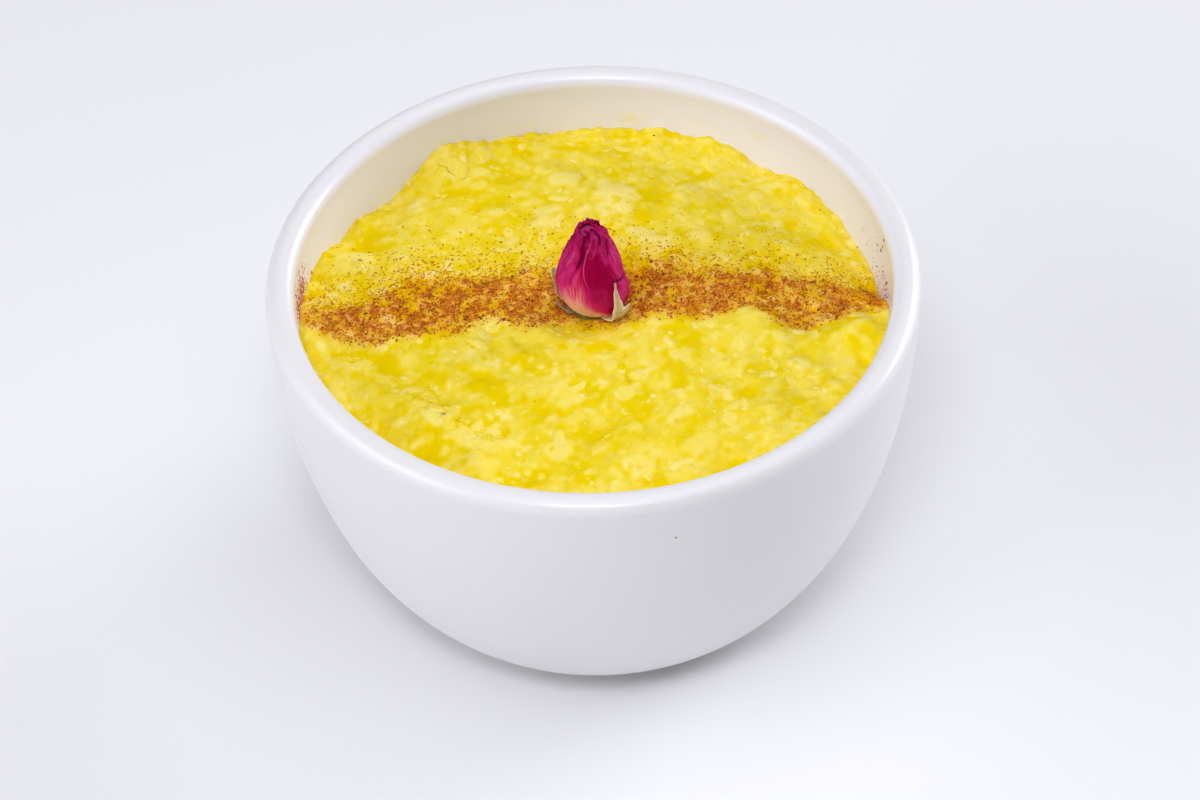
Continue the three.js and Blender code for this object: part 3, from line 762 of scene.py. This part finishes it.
def sheet(name, across, along, shaped):
    """A sheet of so many steps each way, whose points shaped(u, v) gives. Its UV map keeps u and v."""
    bm = bmesh.new()
    bm.loops.layers.uv.new("UVMap")
    bmesh.ops.create_grid(bm, x_segments=across, y_segments=along, size=0.5, calc_uvs=True)
    for face in bm.faces:
        face.smooth = True
    u, v = np.array([v.co[:2] for v in bm.verts]).T + 0.5
    for vertex, spot in zip(bm.verts, shaped(u, v)):
        vertex.co = spot
    bm.normal_update()
    middle = Vector((bud_x, bud_y, bud_base))
    if sum((face.calc_center_median() - middle).dot(face.normal) for face in bm.faces) < 0:
        bmesh.ops.reverse_faces(bm, faces=bm.faces)
    return mesh_from(bm, name)


def wrapped(heading):
    """The same heading from -180 to 180 degrees."""
    return (heading + 180) % 360 - 180


# Folds that the petals have dried with, as lines of (heading, height) in degrees and mm, with a half width
# and a depth. The first is the long one left of the front petal, then a slit high on the right, and a notch
# with a bulge under it.
folds = [
    ([(-112, 18.7), (-111, 17), (-112, 15.4), (-116, 14), (-121, 12.9)], 0.45, -0.45),
    ([(-122, 12.4), (-127, 11.2), (-131, 10), (-133, 8.6)], 0.3, -0.24),
    ([(-24, 16.9), (-29, 16.1), (-32, 15.3), (-38, 14.3)], 0.22, -0.6),
    ([(-47, 8.5), (-36, 8.4), (-26, 8.0), (-11, 7.3), (8, 7.0)], 0.28, -0.7),
    ([(-40, 5.0), (-20, 5.4), (0, 5.0)], 1.5, 0.3),
    ([(-20, 16.5), (-25, 14.5), (-28, 12)], 0.5, 0.2),
    ([(-52, 18.8), (-50, 17.8), (-56, 17.0)], 0.3, -0.45),
    ([(-95, 18.6), (-92, 17.6)], 0.25, -0.3),
    ([(-168, 17.8), (-172, 16.4), (-165, 15.6)], 0.25, -0.35),
    ([(-107, 17.4), (-106, 16.2)], 0.22, 0.3),
    ([(-115, 12.3), (-119, 10.6), (-121, 9.0)], 0.45, 0.25),
    ([(-138, 15.0), (-146, 12.5), (-150, 9.5)], 0.6, 0.22),
    ([(-158, 14.5), (-166, 11.5), (-164, 9.0)], 0.3, -0.22),
    ([(-146, 11.5), (-141, 9.2), (-143, 7.4)], 0.22, -0.2),
    ([(-80, 15.6), (-86, 14.8), (-92, 14.9)], 0.25, 0.14)]


def folded(heading, h):
    """How far the folds press the petals in or raise them there, in mm."""
    total = 0 * heading
    reach = bud_radius(h * MM) / MM * pi / 180
    for stations, width, depth in folds:
        nearest = np.full(heading.shape, 1e3)
        for (a, low), (b, high) in zip(stations, stations[1:]):
            run, rise = (b - a) * reach, high - low
            dx, dy = wrapped(heading - a) * reach, h - low
            t = np.clip((dx * run + dy * rise) / (run**2 + rise**2), 0, 1)
            nearest = np.minimum(nearest, np.hypot(dx - t * run, dy - t * rise))
        total += depth * np.exp(-((nearest / width) ** 2))
    return total


# How far up the cream root reaches, by heading. Painted sheen, a lighter magenta where light catches the
# petals, lies in patches: heading, height, half sizes, strength.
root_reach = [
    (-180, 5.5), (-155, 6.6), (-140, 7.7), (-128, 8.6), (-117, 9.0), (-109, 8.6), (-104, 7.5),
    (-98, 6.0), (-90, 4.8), (-81, 3.7), (-73, 2.5), (-60, 1.5), (-20, 1.5), (60, 4.0), (180, 5.5)]
sheen_patches = [
    (-14, 13, 32, 8, 0.95), (-22, 5.2, 32, 3.2, 0.6), (-154, 12.5, 38, 6.5, 0.8),
    (-80, 17.2, 30, 1.9, 0.5), (-82, 6.3, 26, 3.2, 0.45), (100, 10, 100, 10, 0.6),
    (-100, 18.8, 200, 2.2, 0.7), (-52, 15.4, 15, 2.8, 0.9)]
fan_heading, fan_height = -106, -1.0


def tint_petals(mesh):
    """Keeps with each point how ripe the petal's colour is there, from the cream root up, how much painted
    sheen it has, how deep in a fold it lies, and its bearing from where the veins start."""
    x, y, z = points_of(mesh)
    heading = np.degrees(np.arctan2(y - bud_y, x - bud_middle(z - bud_base)))
    h = (z - bud_base) / MM
    painted_sheen = 0 * h
    for a, level, wide, tall, strength in sheen_patches:
        far = np.hypot(wrapped(heading - a) / wide, (h - level) / tall)
        painted_sheen = np.maximum(painted_sheen, strength * (1 - smoothstep(far, 0.6, 1.15)))
    aside = wrapped(heading - fan_heading) * bud_width / MM * pi / 180
    paint(mesh, "ripe", h / np.interp(wrapped(heading), *zip(*root_reach)))
    paint(mesh, "painted_sheen", painted_sheen)
    paint(mesh, "fold", folded(heading, h))
    paint(mesh, "bearing", np.arctan2(aside, h - fan_height))


def ridge(value, middle, width):
    return np.exp(-(((value - middle) / width) ** 2))


petal_bottom = -0.45
petal_lift = 0.36
petal_span = 165
petal_steps = 120


def petal_width(v):
    narrow = 0.62 + 0.38 * np.sin(np.clip(v, 0, 0.5) * pi)
    return np.where(v < 0.5, narrow, np.sqrt(1 - 0.88 * np.clip((v - 0.5) / 0.5, 0, 1) ** 2))


def petal(name, free_edge, top, seed, free=None):
    """A petal wrapped round the bud from its free edge, which lies outside, to its tucked edge. Headings are
    in degrees and heights in mm. Where the free edge shows, it follows these (height, heading) stations."""
    def shaped(u, v):
        torn = 0.30 * waves(u * 9, seed, 0.3) + 0.22 * waves(u * 32, seed, 0.6)
        h = petal_bottom + (top - petal_bottom) * v + torn * v**6
        width = petal_width(v)
        start = free_edge + petal_span * (0.5 - width / 2) + 2.5 * waves(v * 3.0, seed, 0.5)
        if free:
            start = np.interp(h, *zip(*free))
        heading = start + (free_edge + petal_span * (0.5 + width / 2) - start) * u
        a = np.radians(heading)
        relief = 0.22 * waves(1.7 * np.cos(a), 1.7 * np.sin(a), h / 4.5)
        relief += 0.13 * waves(6 * np.cos(a), 6 * np.sin(a), h / 2.6)
        relief += 0.10 * waves(u * 24, v * 5, seed + 2) + 0.05 * waves(u * 60, v * 9, seed + 3)
        relief += 0.10 * ridge(u, 0, 0.03) * waves(v * 6, seed, 0.2) + 0.07 * ridge(u, 0, 0.02)
        crumpled = 0.30 * waves(u * 14, v * 9, seed + 4) + 0.16 * waves(u * 40, v * 20, seed)
        relief += smoothstep(h, 13.5, 16) * crumpled
        tucked = petal_lift * (1 - smoothstep(h, 15, 17.2)) * (0.35 + 0.65 * smoothstep(h, 5, 9.5))
        tucked *= smoothstep(u, 0, 1)
        radius = bud_radius(h * MM) + ((relief + folded(heading, h)) * smoothstep(h, -0.7, 1) - tucked) * MM
        return on_bud(a, np.maximum(radius, 0.4 * MM), h * MM)

    mesh = sheet(name, petal_steps, petal_steps, shaped)
    tint_petals(mesh)
    return mesh


skin, tree, shader = new_finish("dried petal")
place_on = object_place(tree)
over = add_node(tree, "UVMap", {}, uv_map="UVMap").outputs[0]
side = add_node(tree, "SeparateXYZ", {"Vector": over}).outputs["X"]
up = add_node(tree, "SeparateXYZ", {"Vector": place_on}).outputs["Z"]
ripe, painted_sheen, fold, bearing = [painted(tree, name) for name in ("ripe", "painted_sheen", "fold", "bearing")]
drawn_out = add_node(tree, "Mapping", {"Vector": over, "Scale": (60, 3.5, 1)}).outputs[0]
combed = clouds(tree, drawn_out, 1.0, 4, 0.65)
sideways, lengthways = calculate(tree, "MULTIPLY", bearing, 26.0), calculate(tree, "MULTIPLY", up, 260.0)
fanned = add_node(tree, "CombineXYZ", {"X": sideways, "Y": lengthways}).outputs[0]
rooted = between(tree, ripe, 0.9, 1.6, 1.0, 0.0)
veins = add_node(tree, "Mix", {0: rooted, 2: combed, 3: clouds(tree, fanned, 1.0, 4, 0.65)}).outputs[0]
mottle = clouds(tree, place_on, 420, 5, 0.65)
streaked = calculate(tree, "MULTIPLY", calculate(tree, "SUBTRACT", veins, 0.5), 2.0)
ripeness = calculate(tree, "MULTIPLY", calculate(tree, "ADD", ripe, streaked), 0.6)
colour = ramped(tree, ripeness, [
    (0, (0.84, 0.60, 0.38)), (0.22, (0.86, 0.52, 0.34)), (0.40, (0.83, 0.28, 0.27)),
    (0.58, (0.68, 0.04, 0.15)), (0.78, (0.50, 0.001, 0.088)), (1, (0.36, 0.0, 0.056))])
# Painted sheen: lighter magenta in mottled patches where light catches the petals.
sheen_share = calculate(tree, "MULTIPLY", painted_sheen, between(tree, mottle, 0.35, 0.62, 0.35, 1.0))
colour = blended(tree, sheen_share, colour, (0.635, 0.028, 0.21))
# Painted highlight: the raised ridges of the folds are lighter pink, in patches.
patchy = between(tree, mottle, 0.35, 0.6, 0.1, 0.6)
ridge_highlight = calculate(tree, "MULTIPLY", between(tree, fold, 0.05, 0.3), patchy)
colour = blended(tree, ridge_highlight, colour, (0.72, 0.09, 0.27))
dark_veins = between(tree, veins, 0.35, 0.5, 0.5, 0.0)
colour = blended(tree, dark_veins, colour, (0.22, 0.0, 0.04))
# Painted shade: the petals darken the deeper a fold presses in.
colour = blended(tree, between(tree, fold, -0.38, -0.06, 0.88, 0.0), colour, (0.13, 0.0, 0.028))
above_waist = between(tree, up, bud_base + 8 * MM, bud_base + 10 * MM)
below_tip = between(tree, up, bud_base + 17.5 * MM, bud_base + 18.5 * MM, 1.0, 0.0)
waist = calculate(tree, "MULTIPLY", above_waist, below_tip)
edge = calculate(tree, "MULTIPLY", between(tree, side, 0.0, 0.014, 0.55, 0.0), waist)
colour = blended(tree, edge, colour, (0.76, 0.20, 0.33))
feed(tree, shader.inputs["Base Color"], colour)
shader.inputs["Roughness"].default_value = 0.6
shader.inputs["IOR"].default_value = 1.1
feed(tree, shader.inputs["Normal"], bumped(tree, veins, 0.14 * MM, 1.0, bumped(tree, mottle, 0.09 * MM)))

# The front petal's free edge is listed as height and heading. The outer petals are given by name, heading of
# the free edge, height, and a seed for their creases.
front_edge_line = [
    (-0.5, -72), (2.5, -80), (5, -88), (7.5, -93), (9.3, -95), (9.9, -99), (11.2, -104), (12.1, -105.5),
    (13.3, -106.5), (14.6, -104), (15.7, -100.5), (16.8, -94), (18.5, -89), (19.5, -86)]
outer_petals = [
    ("petal_front", -97, 18.8, 1.0, front_edge_line), ("petal_right", 23, 18.6, 2.0),
    ("petal_left", 143, 18.5, 3.0)]
for leaf in outer_petals:
    place(petal(*leaf), skin, "petal", leaf[0], thickness=petal_thickness)


# Inside them the small crumpled petals of the heart stand out at the tip, wound on a solid core.
heart_bottom = 10
heart_rounds_from = 18.4


def joined(name, meshes):
    bm = bmesh.new()
    bm.loops.layers.uv.new("UVMap")
    for mesh in meshes:
        bm.from_mesh(mesh)
    return mesh_from(bm, name)


def heart_petal(free_edge, span, top, seed, sink):
    """A small petal that stands this deep inside the bud's outline, in degrees and mm like the others."""
    def shaped(u, v):
        torn = 0.45 * waves(u * 5, seed, 0.3) + 0.3 * waves(u * 18, seed, 0.6)
        h = heart_bottom + (top - heart_bottom) * v + torn * v**4
        heading = np.radians(free_edge + span * (0.5 + (u - 0.5) * (1 - 0.35 * v)))
        relief = 0.30 * waves(u * 6, v * 3, seed) + 0.14 * waves(u * 20, v * 6, seed)
        flare = 0.4 * v**6 * waves(u * 7, seed, 0.9)
        outline = bud_radius(np.minimum(h, heart_rounds_from) * MM)
        radius = outline + ((relief + flare) * smoothstep(h, 12, 15) - sink) * MM
        return on_bud(heading, np.maximum(radius, 0.25 * MM), h * MM)

    return sheet("heart", 60, 50, shaped)


heart = [
    (-165, 110, 18.6, 11.0, 0.20), (-85, 120, 18.7, 12.0, 0.30), (20, 120, 18.8, 13.0, 0.20),
    (110, 110, 18.5, 14.0, 0.30), (-130, 140, 18.8, 15.0, 0.70), (40, 150, 18.9, 16.0, 0.75),
    (-20, 130, 18.8, 17.0, 1.2), (150, 140, 18.7, 18.0, 1.5)]
heart_mesh = joined("heart_petals", [heart_petal(*leaf) for leaf in heart])
tint_petals(heart_mesh)
place(heart_mesh, skin, "petal", thickness=heart_thickness)

core_profile = [(bud_radius(h * MM) - core_gap, bud_base + h * MM) for h in np.linspace(0.15, 18.0, 40)]
core_profile = [(0, core_profile[0][1])] + core_profile + [(0, core_profile[-1][1] + 0.3 * MM)]
core_mesh = turned("core", core_profile, bud_steps)
for v in core_mesh.vertices:
    v.co.x += float(bud_middle(v.co.z - bud_base))
    v.co.y += bud_y
tint_petals(core_mesh)
place(core_mesh, skin, "petal", "bud_core")


# ---- Under the petals sits what is left of the hip, a small wrinkled cup, dark brown and darker still as
# painted shade for the gap under the petals, and five sepals grow from its edge. They have dried to thin
# crumpled leaves, green beige with paler edges, some pressed to the bud and some standing away.

sepal_thickness = 0.22 * MM


def eased(v, stations):
    """The columns of the stations at this share of the way along them, with the corners rounded off."""
    at = np.linspace(0, 1, len(stations))
    near = [np.clip(v + step, 0, 1) for step in np.linspace(-0.06, 0.06, 7)]
    return [sum(np.interp(spot, at, column) for spot in near) / len(near) for column in np.array(stations).T]


def unit(vectors):
    return vectors / np.linalg.norm(vectors, axis=-1, keepdims=True)


def sepal(stations, seed, crumple, twist, age):
    """A leaf from under the bud outwards. Its stations are heading, radius, height above the hip's underside
    and half width, in degrees and mm. Twist is how far it has turned about its own line, in degrees, and age
    how brown it is."""
    def line(v):
        heading, radius, h, _ = eased(v, stations)
        turn, radius = np.radians(heading), radius * MM
        x, y = bud_x + radius * np.cos(turn), bud_y + radius * np.sin(turn)
        return np.stack([x, y, bud_foot + h * MM], -1)

    def shaped(u, v):
        heading, _, h, half = eased(v, stations)
        turn, standing = np.radians(heading), smoothstep(h, 0.5, 1.6)
        along = unit(line(np.minimum(v + 0.03, 1)) - line(np.maximum(v - 0.03, 0)))
        outside = np.stack([np.cos(turn) * standing, np.sin(turn) * standing, standing - 1], -1)
        aside = unit(np.cross(along, outside))
        outside = np.cross(aside, along)
        turned_by = np.radians(twist) * smoothstep(h, 1, 4)[:, None]
        cosine, sine = np.cos(turned_by), np.sin(turned_by)
        aside, outside = aside * cosine + outside * sine, outside * cosine - aside * sine
        across = 2 * u - 1
        ragged = half * (1 + 0.18 * waves(v * 9, seed, np.sign(across) * 3)) * across
        bowed = 0.25 * half * (1 - across**2) + 0.10 * ridge(across, 0, 0.15)
        bowed += crumple * (waves(across * 1.2, v * 4, seed) + 0.35 * waves(across * 3, v * 11, seed + 1))
        return line(v) + (aside * ragged[:, None] + outside * (bowed * (2 * standing - 1))[:, None]) * MM

    mesh = sheet("sepal", 24, 60, shaped)
    paint(mesh, "age", [age] * len(mesh.vertices))
    return mesh


sepals = [
    # front right, standing up the side of the bud to a fine tip
    ([(-58, 2.6, 0.45, 0.6), (-55, 4.4, 0.4, 0.7), (-49, 5.9, 0.5, 0.7), (-47, 6.6, 1.0, 0.7),
      (-46, 6.95, 2.0, 1.5), (-46, 7.2, 3.4, 1.5), (-46, 7.2, 5.2, 0.9), (-47, 6.95, 7.0, 0.5),
      (-47.5, 6.7, 8.6, 0.3), (-45.5, 6.4, 9.9, 0.06)], 1.0, 0.15, 0, 0.0),
    # its side lobe, which points to the right
    ([(-47, 6.5, 0.9, 0.5), (-42, 7.0, 1.7, 1.1), (-36, 7.4, 2.3, 1.1), (-29, 7.65, 2.8, 0.65),
      (-22, 7.7, 3.0, 0.08)], 2.0, 0.15, 10, 0.05),
    # left, its blunt tip standing away from the bud
    ([(160, 2.6, 0.45, 0.8), (160, 4.6, 0.45, 1.0), (162, 5.7, 1.0, 0.8), (165, 6.3, 2.6, 0.5),
      (166, 6.55, 5.0, 0.5), (166, 6.75, 6.8, 0.55), (166.5, 6.85, 8.4, 0.6)], 3.0, 0.1, 80, 0.45),
    # front left, crumpled up under the bud
    ([(-148, 3.4, 0.4, 0.4), (-156, 4.5, 0.6, 0.6), (-163, 5.3, 1.0, 0.6), (-169, 6.1, 1.7, 0.5),
      (-173, 6.6, 2.4, 0.2)], 4.0, 0.5, 0, 0.8),
    # front, broken off short
    ([(-95, 2.6, 0.45, 0.9), (-94, 3.9, 0.45, 1.1)], 5.0, 0.2, 0, 0.9),
    # back right, flat on the pudding
    ([(55, 2.6, 0.45, 0.8), (56, 4.8, 0.45, 1.4), (58, 6.6, 0.9, 1.2), (60, 8.0, 1.1, 0.3)],
     6.0, 0.22, 0, 0.2)]

leafy, tree, shader = new_finish("dried sepal")
over = add_node(tree, "UVMap", {}, uv_map="UVMap").outputs[0]
place_on = object_place(tree)
side = add_node(tree, "SeparateXYZ", {"Vector": over}).outputs["X"]
far_out = add_node(tree, "SeparateXYZ", {"Vector": over}).outputs["Y"]
off_middle = calculate(tree, "ABSOLUTE", calculate(tree, "SUBTRACT", side, 0.5))
drawn_out = add_node(tree, "Mapping", {"Vector": over, "Scale": (22, 3, 1)}).outputs[0]
fibres = clouds(tree, drawn_out, 1.0, 4, 0.6)
spots = clouds(tree, place_on, 900, 3, 0.6)
colour = blended(tree, fibres, (0.46, 0.37, 0.17), (0.78, 0.62, 0.37))
colour = blended(tree, between(tree, off_middle, 0.2, 0.45, 0.0, 0.85), colour, (0.92, 0.72, 0.52))
colour = blended(tree, between(tree, far_out, 0.7, 1.0, 0.0, 0.5), colour, (0.90, 0.64, 0.48))
spotted = calculate(tree, "ADD", painted(tree, "age"), calculate(tree, "SUBTRACT", spots, 0.5))
aged = between(tree, spotted, 0.0, 1.0, 0.0, 0.85)
worn = calculate(tree, "MAXIMUM", between(tree, spots, 0.55, 0.75, 0.0, 0.4), aged)
colour = blended(tree, worn, colour, (0.20, 0.135, 0.07))
feed(tree, shader.inputs["Base Color"], colour)
shader.inputs["Roughness"].default_value = 0.7
shader.inputs["IOR"].default_value = 1.3
feed(tree, shader.inputs["Normal"], bumped(tree, fibres, 0.12 * MM, 1.0, bumped(tree, spots, 0.05 * MM)))

sepal_mesh = joined("sepals", [sepal(*leaf) for leaf in sepals])
place(sepal_mesh, leafy, "sepal", "calyx", thickness=sepal_thickness)

hip_profile = [(0, 0), (3.3, 0), (4.0, 0.3), (4.1, 0.6), (3.5, 1.0), (0, 1.2)]
hip_mesh = turned("hip", [(r * MM, bud_foot + z * MM) for r, z in hip_profile], bud_steps)
for v in hip_mesh.vertices:
    heading = np.arctan2(v.co.y, v.co.x)
    v.co.xy *= 1 + 0.05 * sin(heading * 9) + 0.04 * sin(heading * 17 + 1)
hip_mesh.transform(Matrix.Translation((bud_x, bud_y, 0)))

withered, tree, shader = new_finish("withered hip")
place_on = object_place(tree)
patches = clouds(tree, place_on, 900, 4, 0.6)
# Partly painted shade: the hip goes near black in places, standing also for the shade in the gap under the
# petals.
feed(tree, shader.inputs["Base Color"], blended(tree, patches, (0.055, 0.035, 0.014), (0.26, 0.18, 0.075)))
shader.inputs["Roughness"].default_value = 0.6
feed(tree, shader.inputs["Normal"], bumped(tree, patches, 0.15 * MM))
place(hip_mesh, withered, "sepal")
